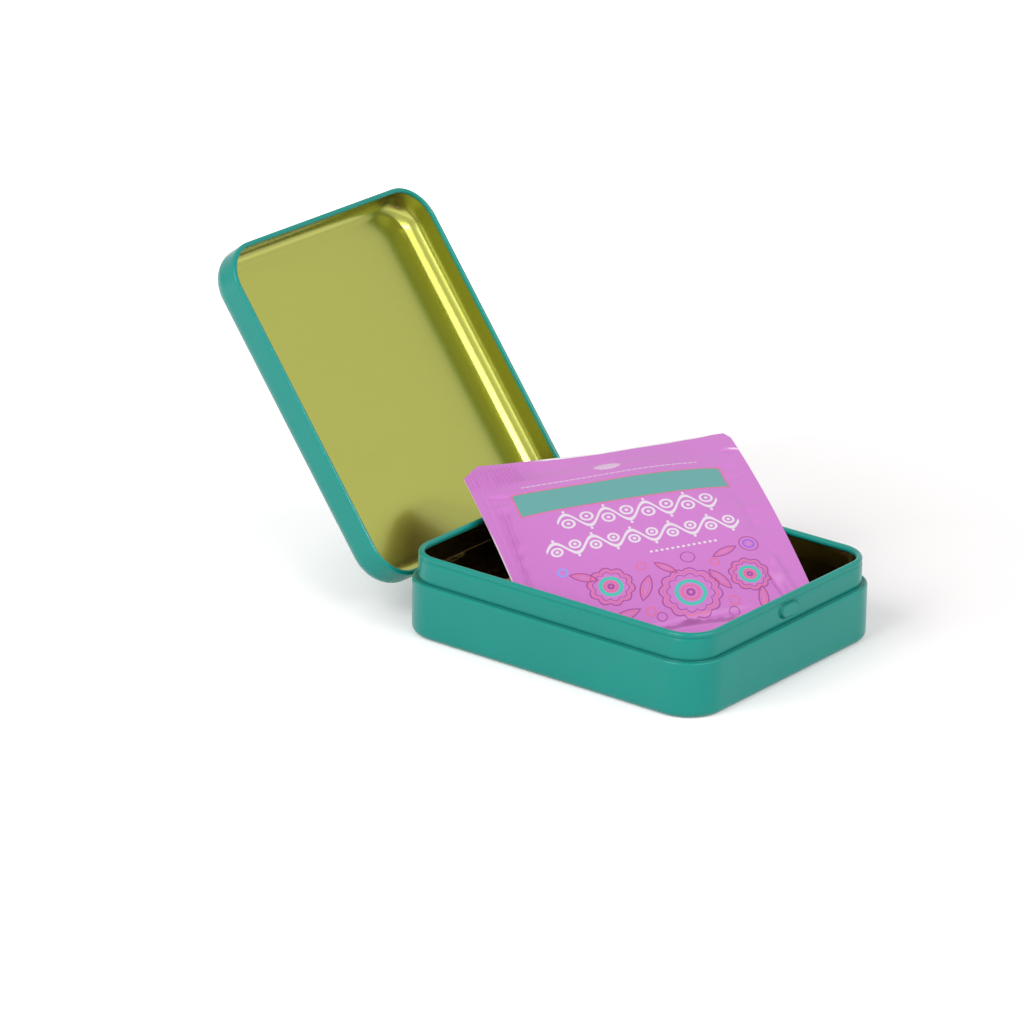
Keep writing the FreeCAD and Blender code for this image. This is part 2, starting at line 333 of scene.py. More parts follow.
def paint_material():
    """Glossy teal enamel of the base, with painted shade darkening it round the collar's foot and the snap
    bump.
    """
    material, tree = new_material("teal_enamel")
    place = object_place(tree)
    cloud = noise(tree, place, scale=60.0)
    across, along, height = (part * (1 / MM) for part in split(tree, place))
    colour = mix_colour(tree, cloud, TEAL, TEAL_DEEP)
    # Painted shade: darker teal round the collar's foot and, less, round the snap bump.
    colour = mix_colour(tree, painted_shade_mask(across, along, height) * 0.5, colour, TEAL_PAINTED_SHADE)
    return finish_enamel(material, colour, cloud, place)


def line_mask(distance, width, soft=0.09):
    """1 on a printed line of this width."""
    return distance.abs().ramp(width / 2 + soft, width / 2 - soft)


def lid_paint_material():
    """Teal enamel of the lid with the printed border on its top."""
    material, tree = new_material("teal_enamel_bordered")
    place = object_place(tree)
    cloud = noise(tree, place, scale=60.0)
    across, along = sheet_place(tree, TIN_WIDTH, TIN_LENGTH)
    border = outline_distance(across, along, BORDER_INSET, BORDER_RADIUS)
    inner_line = border - BORDER_LINE_OFFSET
    colour = mix_colour(tree, cloud, TEAL, TEAL_DEEP)
    for distance, width, tint in (
        (border, BORDER_EDGE_WIDTH, DARK_LINE),
        (border, BORDER_GOLD_WIDTH, GOLD_LINE),
        (inner_line, BORDER_LINE_WIDTH, DARK_LINE),
    ):
        colour = mix_colour(tree, line_mask(distance, width, soft=0.05), colour, tint)
    return finish_enamel(material, colour, cloud, place)


def lacquer_material(name, first, second, roughness):
    """Gold lacquer over tinplate: satin metal, its colour mottled by the tin under it."""
    material, tree = new_material(name)
    place = object_place(tree)
    mottle = noise(tree, place, scale=420.0, roughness=0.55)
    cloud = noise(tree, place, scale=45.0, detail=2.0)
    return finish_surface(
        material,
        Base_Color=mix_colour(tree, mottle * 0.6 + cloud * 0.4, first, second),
        Metallic=1.0,
        Roughness=roughness,
        Coat_Weight=0.8,
        Coat_Roughness=0.13,
    )


def wire_material():
    """Bright drawn wire."""
    material, tree = new_material("hinge_wire")
    place = object_place(tree)
    drawn = noise(tree, place, scale=700.0)
    colour = mix_colour(tree, drawn, WIRE_PALE, WIRE_DARK)
    return finish_surface(material, Base_Color=colour, Metallic=1.0, Roughness=drawn * 0.15 + 0.22)


# The sachet's print, measured from the middle of its face. A ring of a rosette has its share of the
# rosette's radius, its width and its colour; those past SCALLOPED_FROM are drawn as petals.
ROSETTE_RINGS = (
    (1.00, 0.42, PRINT_PLUM),
    (0.86, 0.34, PRINT_CORAL),
    (0.73, 0.30, PRINT_PLUM),
    (0.50, 1.10, PRINT_TURQUOISE),
    (0.30, 0.50, PRINT_CORAL),
    (0.12, 0.70, PRINT_PLUM),
)
SCALLOPED_FROM = 0.6

# Rosettes: middle, radius, number of petals and depth of their scallops.
ROSETTES = (
    ((6.5, -24.5), 7.6, 12, 0.9),
    ((-13.5, -17.5), 5.6, 10, 0.8),
    ((24.0, -21.5), 5.0, 10, 0.7),
)

# Rings: middle, radius, width of the line and colour.
PRINT_RINGS = (
    ((-24.5, -9.5), 1.25, 0.55, PRINT_BLUE),
    ((27.2, -10.6), 1.4, 0.6, PRINT_VIOLET),
    ((27.2, -10.6), 2.6, 0.3, PRINT_PLUM),
    ((9.5, -12.2), 1.9, 0.3, PRINT_PLUM),
    ((-3.6, -12.6), 1.3, 0.3, PRINT_CORAL),
    ((-20.6, -24.2), 1.3, 0.3, PRINT_CORAL),
    ((-22.9, -22.4), 1.3, 0.3, PRINT_CORAL),
    ((-22.8, -25.6), 1.3, 0.3, PRINT_PLUM),
    ((-5.6, -28.0), 1.3, 0.3, PRINT_CORAL),
    ((-3.2, -30.2), 1.3, 0.3, PRINT_PLUM),
    ((17.2, -29.4), 1.4, 0.3, PRINT_CORAL),
    ((16.2, -32.6), 1.4, 0.3, PRINT_PLUM),
    ((16.0, -15.6), 1.2, 0.3, PRINT_CORAL),
)

# Leaves: middle, heading, length from one point to the middle and half width.
PRINT_LEAVES = (
    ((-4.6, -20.2), 62, 4.4, 1.5),
    ((15.6, -21.8), 118, 4.2, 1.4),
    ((-19.6, -12.8), 152, 3.8, 1.3),
    ((19.8, -12.4), 20, 3.8, 1.2),
    ((2.6, -14.6), 135, 3.4, 1.1),
    ((-12.6, -27.6), 14, 4.6, 1.4),
    ((25.2, -30.0), 78, 4.0, 1.3),
)

# Scroll rows: left end, right end, height, length of a wave and its rise. The slope turns height off the
# sloping stem into distance from it.
SCROLL_ROWS = (
    (-20.4, 24.6, 8.6, 11.25, 2.9),
    (-26.4, 27.6, -1.2, 10.8, 2.5),
)
STEM_WIDTH = 0.72
STEM_SLOPE = 0.62
HOLLOW_RING_WIDTH = 0.66
BERRY_RADIUS = 0.5

# Row of beads, which starts at the middle.
BEAD_PITCH = 1.5
BEAD_RADIUS = 0.42
BEAD_ROW_HEIGHT = -7.9
BEAD_ROW_HALF = 9.75

# Head of the print: a band, a dashed rule over it and a hatched oval on top.
BAND_MIDDLE = (0.7, 18.8556)
BAND_HALF = (29.15, 4.7)
BAND_SLANT = 0.012
RULE_HEIGHT = 26.8
RULE_HALF = 25.0
DASH_PITCH = 1.6
OVAL_HEIGHT = 30.9
OVAL_RADIUS = 1.6
OVAL_FLATNESS = 0.42
HATCH_PITCH = 1.3


def inside(distance, soft=0.1):
    """1 inside a printed shape, from the signed distance to its outline."""
    return distance.ramp(soft, -soft)


def rosette(across, along, centre, radius, petals, wave):
    """Rings round a place, their outermost ones scalloped into petals: (mask, colour) pairs."""
    x, y = across - centre[0], along - centre[1]
    distance = length(x, y)
    scallop = (y.angle(x) * (petals / 2)).sin().abs() * wave
    layers = []
    for share, width, colour in ROSETTE_RINGS:
        edge = distance - radius * share - (scallop if share > SCALLOPED_FROM else 0.0)
        layers.append((line_mask(edge, width), colour))
    return layers


def scroll_row(across, along, low, high, middle, pitch, rise):
    """Running scroll between low and high: a wavy stem with a ring, a berry and a drop in each hollow."""
    from_left = across - low
    turn = from_left * (2 * math.pi / pitch)
    over_middle = along - middle
    stem = line_mask((over_middle - turn.sin() * rise) * STEM_SLOPE, STEM_WIDTH)
    from_hollow_x = from_left.repeat(pitch / 2)
    upside = from_left.repeat(pitch).ramp(-0.01, 0.01) * 2.0 - 1.0
    from_hollow = length(from_hollow_x, over_middle - upside * rise * 0.32)
    ring = line_mask(from_hollow - rise * 0.55, HOLLOW_RING_WIDTH)
    berry = inside(from_hollow - BERRY_RADIUS)
    drop = inside(length(from_hollow_x * 1.3, over_middle + upside * rise * 1.42) - BERRY_RADIUS)
    within_ends = inside((across - (low + high) / 2).abs() - (high - low) / 2)
    return stem.max(ring).max(berry).max(drop) * within_ends


def leaf_distance(across, along, centre, heading, reach, half_width):
    """Signed distance from a pointed leaf between two arcs."""
    turn = math.radians(heading)
    x, y = across - centre[0], along - centre[1]
    lengthways = x * math.cos(turn) + y * math.sin(turn)
    sideways = y * math.cos(turn) - x * math.sin(turn)
    arc_radius = (reach ** 2 + half_width ** 2) / (2 * half_width)
    arc_offset = half_width - arc_radius
    first = length(lengthways, sideways - arc_offset) - arc_radius
    second = length(lengthways, sideways + arc_offset) - arc_radius
    return first.max(second)


def print_head(across, along):
    """Band, row of dashes and hatched oval at the sachet's head."""
    from_middle = across - BAND_MIDDLE[0]
    slanted = along - BAND_MIDDLE[1] + from_middle * BAND_SLANT
    band = (from_middle.abs() - BAND_HALF[0]).max(slanted.abs() - BAND_HALF[1])
    dashes = across.repeat(DASH_PITCH).abs().ramp(0.75, 0.55)
    rule = line_mask(along - RULE_HEIGHT, 0.42) * dashes * inside(across.abs() - RULE_HALF)
    oval = length(from_middle * OVAL_FLATNESS, along - OVAL_HEIGHT) - OVAL_RADIUS
    hatching = (across + along * 0.5).repeat(HATCH_PITCH).abs().ramp(0.55, 0.3)
    return [
        (band.ramp(0.42, 0.28), PRINT_CORAL),
        (inside(band, soft=0.08), PRINT_TEAL),
        (rule * 0.75, PRINT_WHITE),
        (inside(oval, soft=0.15) * (hatching * 0.4 + 0.35), PRINT_WHITE),
    ]


def print_ornaments(tree, colour, across, along):
    """The sachet's generic print over its ground colour."""
    layers = print_head(across, along)
    for row in SCROLL_ROWS:
        layers.append((scroll_row(across, along, *row), PRINT_WHITE))
    beads = length(across.repeat(BEAD_PITCH), along - BEAD_ROW_HEIGHT) - BEAD_RADIUS
    past_row_end = (across - BEAD_ROW_HALF).abs() - BEAD_ROW_HALF
    layers.append((inside(beads.max(past_row_end)), PRINT_WHITE))
    for row in ROSETTES:
        layers += rosette(across, along, *row)
    for (x, y), radius, width, tint in PRINT_RINGS:
        layers.append((line_mask(length(across - x, along - y) - radius, width), tint))
    for row in PRINT_LEAVES:
        half_width = row[-1]
        outline = leaf_distance(across, along, *row)
        layers.append((line_mask(outline, 0.36), PRINT_PLUM))
        layers.append((line_mask(outline + half_width * 0.45, 0.28), PRINT_CORAL))
    for mask, tint in layers:
        colour = mix_colour(tree, mask, colour, tint)
    return colour


def bare_paper(tree, place, across, along):
    """White paper past the print: at the top cut, down the left side and on a crease at the right corner."""
    wobble = noise(tree, place, scale=260.0, detail=2.0) * 0.45
    from_middle = across - 0.6
    cut = from_middle * from_middle * 0.0013 + 38.9
    top = (along - cut + wobble + 0.35).ramp(0.0, 0.12)
    top = top * across.ramp(-19.0, -13.0) * across.ramp(35.0, 31.0)
    side = across.ramp(-37.9, -38.15) * along.ramp(14.0, 6.0) * 0.8
    off_crease = (along - 32.5 + (across - 33.6) * 0.35).abs()
    worn = off_crease.ramp(0.28, 0.05) * across.ramp(34.8, 36.6) * 0.65
    return top.max(side).max(worn)


def sachet_material(name, printed):
    """Coated paper of the sachet: orchid, deeper towards its foot and left side, printed on its face."""
    material, tree = new_material(name)
    across, along = sheet_place(tree, SACHET_WIDTH, SACHET_HEIGHT)
    place = object_place(tree)
    cloud = noise(tree, place, scale=35.0)
    colour = mix_colour(tree, cloud, ORCHID, ORCHID_PALE)
    colour = mix_colour(tree, along.ramp(4.0, -38.0) * 0.3, colour, ORCHID_DEEP)
    colour = mix_colour(tree, across.ramp(-8.0, -36.0) * 0.28, colour, ORCHID_DEEP)
    if printed:
        colour = print_ornaments(tree, colour, across, along)
        colour = mix_colour(tree, bare_paper(tree, place, across, along), colour, PAPER_EDGE)
    fibre = noise(tree, place, scale=1100.0)
    return finish_surface(
        material,
        Base_Color=colour,
        Roughness=fibre * 0.1 + 0.4,
        Normal=bump(tree, fibre, distance=0.01 * MM, strength=0.3),
        Coat_Weight=0.08,
        Coat_Roughness=0.3,
    )


def paper_edge_material():
    """Bare paper where the sachet was cut."""
    material, tree = new_material("paper_edge")
    fibre = noise(tree, object_place(tree), scale=1500.0)
    colour = mix_colour(tree, fibre * 0.3, PAPER_EDGE, ORCHID_PALE)
    return finish_surface(material, Base_Color=colour, Roughness=fibre * 0.1 + 0.6)


# ---------------------------------------------------------------- pressed sheet

CORNER_STATIONS = 20
LONG_SIDE_PARTS = 40
SHORT_SIDE_PARTS = 30
PANEL_RINGS = 26


class Section:
    """Section through a wall of the tin: rows of inset and height, sampled closely round each curve."""

    def __init__(self, inset, height):
        self.rows = [(inset, height)]

    def line(self, inset, height, parts=1):
        from_inset, from_height = self.rows[-1]
        for part in range(1, parts + 1):
            share = part / parts
            step_in = (inset - from_inset) * share
            step_up = (height - from_height) * share
            self.rows.append((from_inset + step_in, from_height + step_up))

    def arc(self, centre, angle_from, angle_to, parts):
        """Arc about centre; angles in degrees, counted from +inset to +height."""
        radius = math.dist(centre, self.rows[-1])
        for part in range(1, parts + 1):
            angle = math.radians(angle_from + (angle_to - angle_from) * part / parts)
            inset = centre[0] + radius * math.cos(angle)
            height = centre[1] + radius * math.sin(angle)
            self.rows.append((inset, height))


def curl_end(radius):
    """How far past the quarter turn a curl can roll before it meets its own wall."""
    return math.degrees(math.asin((radius - SHEET - CURL_GAP) / radius))


def base_section():
    """From the floor's edge up the wall, over the shoulder and up the collar to its rolled rim."""
    roll = RIM_CURL / 2
    centre = (COLLAR_INSET + roll, RIM_HEIGHT - roll)
    ledge = SHOULDER_HEIGHT - LEDGE_DIP
    foot_in = COLLAR_INSET - COLLAR_FOOT_RADIUS
    neck = math.radians(NECK_ANGLE)
    neck_end = (centre[0] + roll * math.cos(neck), centre[1] + roll * math.sin(neck))
    section = Section(FOOT_RADIUS, 0)
    section.arc((FOOT_RADIUS, FOOT_RADIUS), 270, 180, parts=8)
    section.line(0, HINGE_Z - SLOT_REACH, parts=6)
    section.line(0, SHOULDER_HEIGHT - SHOULDER_RADIUS, parts=2)
    section.arc((SHOULDER_RADIUS, SHOULDER_HEIGHT - SHOULDER_RADIUS), 180, 90, parts=6)
    section.line(foot_in, ledge, parts=2)
    section.arc((foot_in, ledge + COLLAR_FOOT_RADIUS), 270, 360, parts=5)
    section.line(COLLAR_INSET, centre[1] - NECK_DROP, parts=30)
    section.line(COLLAR_INSET + NECK_DEPTH, centre[1] - NECK_DROP / 2, parts=3)
    section.line(*neck_end, parts=3)
    section.arc(centre, NECK_ANGLE, -90 - curl_end(roll), parts=26)
    return section.rows


def lid_section():
    """From the top's edge down the wall to its rolled edge, as the lid lies shut."""
    roll = LID_CURL / 2
    centre = (roll, SHOULDER_HEIGHT + roll)
    section = Section(LID_TOP_RADIUS, CLOSED_HEIGHT)
    section.arc((LID_TOP_RADIUS, CLOSED_HEIGHT - LID_TOP_RADIUS), 90, 180, parts=16)
    section.line(0, centre[1], parts=6)
    section.arc(centre, 180, 360 + 90 + curl_end(roll), parts=26)
    return section.rows


def spread(start, end, parts, marks=()):
    """Even points from start to end, with the marks put in."""
    points = set(np.linspace(start, end, parts + 1)) | set(marks)
    return sorted(points, reverse=end < start)


def stations(back_marks, front_marks):
    """Points round the tin's outline, anticlockwise, with the outward direction at each."""
    half_x = TIN_WIDTH / 2 - CORNER_RADIUS
    half_y = TIN_LENGTH / 2 - CORNER_RADIUS
    places = []
    outward = []

    def corner(centre_x, centre_y, start):
        for angle in np.radians(np.linspace(start, start + 90, CORNER_STATIONS)):
            facing = np.array((math.cos(angle), math.sin(angle)))
            places.append(np.array((centre_x, centre_y)) + CORNER_RADIUS * facing)
            outward.append(facing)

    def side(points, fixed, axis):
        for point in points[1:-1]:
            place = np.zeros(2)
            place[axis] = fixed
            place[1 - axis] = point
            facing = np.zeros(2)
            facing[axis] = math.copysign(1, fixed)
            places.append(place)
            outward.append(facing)

    side(spread(-half_y, half_y, LONG_SIDE_PARTS), TIN_WIDTH / 2, 0)
    corner(half_x, half_y, 0)
    side(spread(half_x, -half_x, SHORT_SIDE_PARTS, back_marks), TIN_LENGTH / 2, 1)
    corner(-half_x, half_y, 90)
    side(spread(half_y, -half_y, LONG_SIDE_PARTS), -TIN_WIDTH / 2, 0)
    corner(-half_x, -half_y, 180)
    side(spread(-half_x, half_x, SHORT_SIDE_PARTS, front_marks), -TIN_LENGTH / 2, 1)
    corner(half_x, -half_y, 270)
    return np.array(places), np.array(outward)


def carry_round(rows, round_places, outward):
    """The section's rows of inset and height, carried round the outline: points by row and station."""
    insets = np.array([row[0] for row in rows])
    heights = np.array([row[1] for row in rows])
    flat = round_places[None] - outward[None] * insets[:, None, None]
    levels = np.broadcast_to(heights[:, None, None], flat.shape[:2] + (1,))
    return np.concatenate([flat, levels], axis=2)


def panel_loops(edge, crown):
    """Loops that close a panel from near its middle out to its edge, crowned towards the middle."""
    loops = []
    for ring in range(PANEL_RINGS - 1, 0, -1):
        share = 1 - ring / PANEL_RINGS
        loop = edge.copy()
        loop[:, :2] *= share
        loop[:, 2] += crown * (1 - share ** 2) ** 2
        loops.append(loop)
    return np.array(loops)


def press_sheet(name, wall, from_top=False, cut=None, crown=0.0):
    """One sheet of a wall and the panel that closes its first row, without the faces to be cut."""
    count = wall.shape[1]
    loops = panel_loops(wall[0], crown)
    middle = np.array([[0, 0, wall[0, 0, 2] + crown]])
    points = np.concatenate([middle, loops.reshape(-1, 3), wall.reshape(-1, 3)])
    faces = [(0, 1 + station, 1 + (station + 1) % count) for station in range(count)]
    for level in range(len(loops) + len(wall) - 1):
        start = 1 + level * count
        row = level - len(loops)
        for station in range(count):
            after = (station + 1) % count
            if cut and row >= 0 and cut(wall[row:row + 2, [station, after]].reshape(-1, 3).mean(axis=0)):
                continue
            near, far = start + station, start + after
            faces.append((near, near + count, far + count, far))
    if not from_top:
        faces = [face[::-1] for face in faces]
    mesh = bpy.data.meshes.new(name)
    mesh.from_pydata((points * MM).tolist(), [], faces)
    layer = mesh.uv_layers.new(name="sheet")
    corner_points = np.array([loop.vertex_index for loop in mesh.loops])
    uv = points[corner_points, :2] / (TIN_WIDTH, TIN_LENGTH) + 0.5
    layer.data.foreach_set("uv", uv.astype(np.float32).ravel())
    return mesh


def fresh_object(name, mesh):
    piece = bpy.data.objects.new(name, mesh)
    bpy.context.scene.collection.objects.link(piece)
    return piece


def bake_modifiers(piece):
    """Turn the piece's modifiers into plain mesh."""
    bpy.context.view_layer.update()
    evaluated = piece.evaluated_get(bpy.context.evaluated_depsgraph_get())
    finished = bpy.data.meshes.new_from_object(evaluated)
    piece.modifiers.clear()
    piece.data = finished
    return piece


def thicken(piece, thickness, inner_material=1):
    """Give a sheet its thickness on the inner side; the inner faces take the next material."""
    solidify = piece.modifiers.new("thickness", "SOLIDIFY")
    solidify.thickness = thickness * MM
    solidify.offset = -1
    solidify.use_even_offset = True
    solidify.use_quality_normals = True
    solidify.material_offset = inner_material
    solidify.material_offset_rim = inner_material
    return bake_modifiers(piece)


def shade_smooth(mesh, angle=35):
    mesh.polygons.foreach_set("use_smooth", [True] * len(mesh.polygons))
    mesh.set_sharp_from_angle(angle=math.radians(angle))


def swing_open(mesh):
    """Turn a piece of the lid from shut to its open stop."""
    hinge = Vector((0, HINGE_Y, HINGE_Z)) * MM
    turn = Matrix.Rotation(math.radians(-OPEN_ANGLE), 4, "X")
    mesh.transform(Matrix.Translation(hinge) @ turn @ Matrix.Translation(-hinge))


def smooth_step(value):
    value = np.clip(value, 0, 1)
    return value * value * (3 - 2 * value)


def raise_bump(wall):
    """Press the oblong snap bump out of the collar's front, with a shallow moat round it."""
    run = (BUMP_LENGTH - BUMP_HEIGHT) / 2
    beyond = np.maximum(np.abs(wall[..., 0]) - run, 0)
    distance = np.hypot(beyond, wall[..., 2] - BUMP_MIDDLE) - BUMP_HEIGHT / 2
    in_front = wall[..., 1] < -TIN_LENGTH / 2 + COLLAR_INSET + 0.1
    on_collar = in_front & (wall[..., 2] > SHOULDER_HEIGHT)
    stand = BUMP_STAND * smooth_step((0.05 - distance) / BUMP_SHOULDER)
    moat = BUMP_MOAT * np.exp(-(((distance - MOAT_MIDDLE) / MOAT_WIDTH) ** 2))
    wall[..., 1] -= (stand - moat) * on_collar
    return wall


def in_slot(point):
    """Whether a point of the base's sheet lies in a hinge slot."""
    beside = min(abs(point[0] - middle) for middle in HINGE_PLACES) < SLOT_HALF
    behind = point[1] > TIN_LENGTH / 2 - COLLAR_INSET + COLLAR_FOOT_RADIUS
    return beside and behind and HINGE_Z - SLOT_REACH < point[2] < SHOULDER_HEIGHT + 0.01


def build_shell(name, mesh, paint, lacquer):
    """Give a pressed sheet its thickness, painted outside and lacquered inside."""
    for material in (paint, lacquer):
        mesh.materials.append(material)
    return thicken(fresh_object(name, mesh), SHEET)


def build_base(paint, lacquer):
    slot_marks = [middle + side * SLOT_HALF for middle in HINGE_PLACES for side in (-1, 1)]
    bump_marks = np.arange(-BUMP_MESH_HALF, BUMP_MESH_HALF, BUMP_MESH_STEP)
    wall = raise_bump(carry_round(base_section(), *stations(slot_marks, bump_marks)))
    piece = build_shell("tin_base", press_sheet("tin_base", wall, cut=in_slot), paint, lacquer)
    shade_smooth(piece.data)
    return piece


def build_lid(paint, lacquer):
    wall = carry_round(lid_section(), *stations([], []))
    mesh = press_sheet("tin_lid", wall, from_top=True, crown=LID_CROWN)
    piece = build_shell("tin_lid", mesh, paint, lacquer)
    swing_open(piece.data)
    shade_smooth(piece.data)
    return piece


# ---------------------------------------------------------------- hinge


def roll_strip(name, outline, middle_x, width, material):
    """A strip of sheet that follows an outline in Y and Z, outer face first."""
    columns = 9
    places_x = np.linspace(middle_x - width / 2, middle_x + width / 2, columns)
    points = [(x, y, z) for y, z in outline for x in places_x]
    faces = []
    for row in range(len(outline) - 1):
        for column in range(columns - 1):
            near = row * columns + column
            faces.append((near, near + columns, near + columns + 1, near + 1))
    mesh = bpy.data.meshes.new(name)
    mesh.from_pydata((np.array(points) * MM).tolist(), [], faces)
    mesh.materials.append(material)
    return thicken(fresh_object(name, mesh), SHEET, inner_material=0)


def ring_points(radius, start, end, parts):
    """Points in Y and Z about the hinge's axis."""
    angles = np.radians(np.linspace(start, end, parts + 1))
    return [(HINGE_Y + radius * math.cos(angle), HINGE_Z + radius * math.sin(angle)) for angle in angles]


def build_lid_knuckle(name, middle_x, paint, lacquer):
    """Strap from the lid's wall that rolls round the pin: made as the lid lies shut, then swung open."""
    wall = TIN_LENGTH / 2
    lap = SHOULDER_HEIGHT + STRAP_LAP
    outline = [(wall - STRAP_SINK, lap + STRAP_END), (wall, lap)]
    bend_y = HINGE_Y + KNUCKLE_RADIUS
    bend_z = HINGE_Z + STRAP_RISE
    for share in (0.33, 0.66, 1.0):
        outline.append((wall + (bend_y - wall) * share, lap + (bend_z - lap) * share))
    outline += ring_points(KNUCKLE_RADIUS, 0, -LID_KNUCKLE_TURN, parts=40)
    piece = roll_strip(name, outline, middle_x, LID_KNUCKLE_LENGTH, paint)
    piece.data.materials.append(lacquer)
    swing_open(piece.data)
    # Painted shade: the knuckle's faces towards the base, low on the roll and seen from inside through the
    # slot, take the darker lacquer.
    for face in piece.data.polygons:
        towards_base = face.center.y < HINGE_Y * MM
        low = face.center.z < (HINGE_Z + SHADED_KNUCKLE_RISE) * MM
        face.material_index = int(towards_base and low)
    shade_smooth(piece.data)
    return piece


SLEEVE_SIZES = {
    "Radius": KNUCKLE_RADIUS * MM,
    "Length": BASE_KNUCKLE_LENGTH * MM,
    "Sheet": SHEET * MM,
    "End Shift": ((LID_KNUCKLE_LENGTH + BASE_KNUCKLE_LENGTH) / 2 + KNUCKLE_GAP) * MM,
    "Spacing": (HINGE_PLACES[1] - HINGE_PLACES[0]) * MM,
}


def put_two(tree, instance, gap):
    """Two copies on X, a gap apart, centred on the origin."""
    start = add_node(tree, "ShaderNodeCombineXYZ", inputs={"X": gap * -0.5})
    step = add_node(tree, "ShaderNodeCombineXYZ", inputs={"X": gap})
    row = {"Count": 2, "Start Location": start, "Offset": step}
    points = add_node(tree, "GeometryNodeMeshLine", inputs=row)
    return add_node(tree, "GeometryNodeInstanceOnPoints", inputs={"Points": points, "Instance": instance})


def move(tree, geometry, **change):
    return add_node(tree, "GeometryNodeTransform", inputs={"Geometry": geometry, **change})


def hinge_sleeve_tree(material):
    """Node tree that rolls a short sleeve of sheet and puts one at each end of both hinge pins."""
    tree = bpy.data.node_groups.new("hinge_sleeves", "GeometryNodeTree")
    for name in SLEEVE_SIZES:
        tree.interface.new_socket(name=name, in_out="INPUT", socket_type="NodeSocketFloat")
    tree.interface.new_socket(name="Geometry", in_out="OUTPUT", socket_type="NodeSocketGeometry")
    radius, reach, sheet, shift, spacing = add_node(tree, "NodeGroupInput", output=tuple(SLEEVE_SIZES))
    sweep = math.radians(BASE_KNUCKLE_TURN)
    roll = {"Resolution": 48, "Radius": radius - sheet * 0.5, "Sweep Angle": sweep}
    arc = add_node(tree, "GeometryNodeCurveArc", {"mode": "RADIUS"}, roll)
    strip_sizes = {"Width": sheet, "Height": reach}
    strip = add_node(tree, "GeometryNodeCurvePrimitiveQuadrilateral", inputs=strip_sizes)
    swept = {"Curve": arc, "Profile Curve": strip, "Fill Caps": True}
    sleeve = add_node(tree, "GeometryNodeCurveToMesh", inputs=swept)
    turned = move(tree, sleeve, Rotation=(0, math.pi / 2, 0))
    pair = put_two(tree, turned, shift * 2.0)
    both = put_two(tree, pair, spacing)
    real = add_node(tree, "GeometryNodeRealizeInstances", inputs={"Geometry": both})
    placed = move(tree, real, Translation=(0, HINGE_Y * MM, HINGE_Z * MM))
    finished = add_node(tree, "GeometryNodeSetMaterial", inputs={"Geometry": placed, "Material": material})
    add_node(tree, "NodeGroupOutput", inputs={"Geometry": finished})
    return tree


def build_base_sleeves(material):
    """The four short sleeves rolled from the base's wall that hold the ends of the pins."""
    piece = fresh_object("base_sleeves", bpy.data.meshes.new("base_sleeves"))
    modifier = piece.modifiers.new("sleeves", "NODES")
    modifier.node_group = hinge_sleeve_tree(material)
    for socket in modifier.node_group.interface.items_tree:
        if socket.in_out == "INPUT":
            modifier[socket.identifier] = SLEEVE_SIZES[socket.name]
    bake_modifiers(piece)
    shade_smooth(piece.data)
    return piece


# ---------------------------------------------------------------- sachet


def sachet_sheet(across, up):
    """Points and normals of the sachet's middle sheet, which leans back and bends over as it rises."""
    tilt, heading = math.radians(SACHET_TILT), math.radians(SACHET_HEADING)
    foot_lean = math.radians(SACHET_LEAN)
    side = across * math.cos(tilt) - up * math.sin(tilt)
    rise = up * math.cos(tilt) + across * math.sin(tilt)
    here_lean = foot_lean + rise / SACHET_BEND_RADIUS
    back = SACHET_BEND_RADIUS * (math.cos(foot_lean) - np.cos(here_lean))
    high = SACHET_BEND_RADIUS * (np.sin(here_lean) - math.sin(foot_lean))
    along = np.array((math.cos(heading), math.sin(heading), 0))
    away = np.array((-math.sin(heading), math.cos(heading), 0))
    upright = np.array((0, 0, 1.0))
    points = side[..., None] * along + back[..., None] * away + high[..., None] * upright
    normals = -np.cos(here_lean)[..., None] * away + np.sin(here_lean)[..., None] * upright
    return points, normals


def sachet_half_thickness(across, up):
    """Half thickness of the sachet: flat seals round a cushion."""
    body_half = SACHET_WIDTH / 2 - SEAL_WIDTH
    body_rise = SACHET_HEIGHT / 2 - SEAL_WIDTH
    share_x = np.minimum(np.abs(across) / body_half, 1)
    share_y = np.minimum(np.abs(up - SACHET_HEIGHT / 2) / body_rise, 1)
    crown = (1 - share_x ** 4) * (1 - share_y ** 4)
    return SEAL_THICKNESS / 2 + crown * (SACHET_THICKNESS - SEAL_THICKNESS) / 2


# Uneven top cut: place across the sachet and height.
TOP_CUT = (
    (-33.4, 80.0),
    (-27.4, 79.6),
    (-13.4, 79.4),
    (0.6, 78.9),
    (15.2, 79.3),
    (29.6, 80.0),
    (37.2, 79.9),
)


def top_edge(across):
    """Height to which the sachet was cut, with both corners taken off."""
    cut = np.interp(across, *zip(*TOP_CUT))
    left = SACHET_HEIGHT - TOP_LEFT_CUT + (across + SACHET_WIDTH / 2)
    right = SACHET_HEIGHT - TOP_RIGHT_DROP + (SACHET_WIDTH / 2 - across) * TOP_RIGHT_SLOPE
    return np.minimum(np.minimum(cut, left), right)


